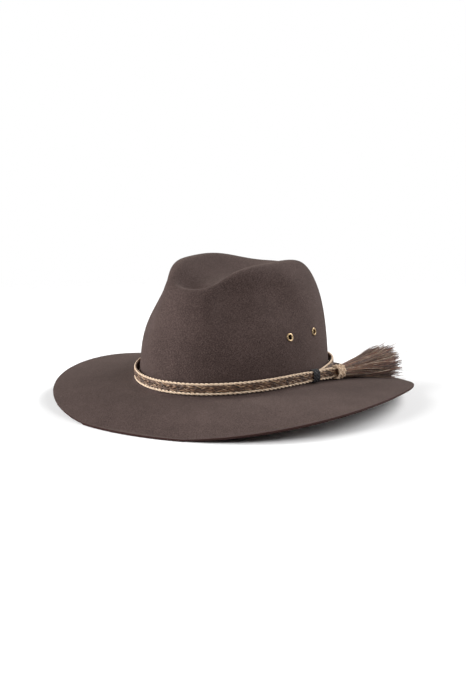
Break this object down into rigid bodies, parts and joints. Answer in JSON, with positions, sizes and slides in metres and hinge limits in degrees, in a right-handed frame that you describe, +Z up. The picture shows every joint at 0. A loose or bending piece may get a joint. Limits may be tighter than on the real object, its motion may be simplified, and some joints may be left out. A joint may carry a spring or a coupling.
{
  "type": "felt hat",
  "caption": "Wide-brimmed felt hat with a pinched teardrop crown, brass vent eyelets and a braided horsehair band that ends in a knotted tassel.",
  "frame": {"origin": "on the resting surface, under the middle of the brim", "axes": "+Z up, -Y towards the front of the hat, +X towards the wearer's left"},
  "size_m": [0.34, 0.34, 0.136],
  "materials": {
    "felt": "dense brushed fur felt, matt, dark brown",
    "brass": "aged brass, softly polished",
    "horsehair": "braided horsehair, brown with tan and grey strands",
    "cream_cord": "two-ply twisted cream cord",
    "black_thread": "tightly wound black thread",
    "tassel_hair": "loose horsehair, reddish brown with grey and cream hairs"
  },
  "bodies": {
    "root": {"felt_body": "felt", "eyelet_left_front": "brass", "eyelet_left_rear": "brass", "eyelet_right_front": "brass", "eyelet_right_rear": "brass", "band_braid": "horsehair", "edge_cord_upper": "cream_cord", "edge_cord_lower": "cream_cord", "black_knot": "black_thread", "ring_knot": "cream_cord", "tassel": "tassel_hair"}
  },
  "joints": []
}
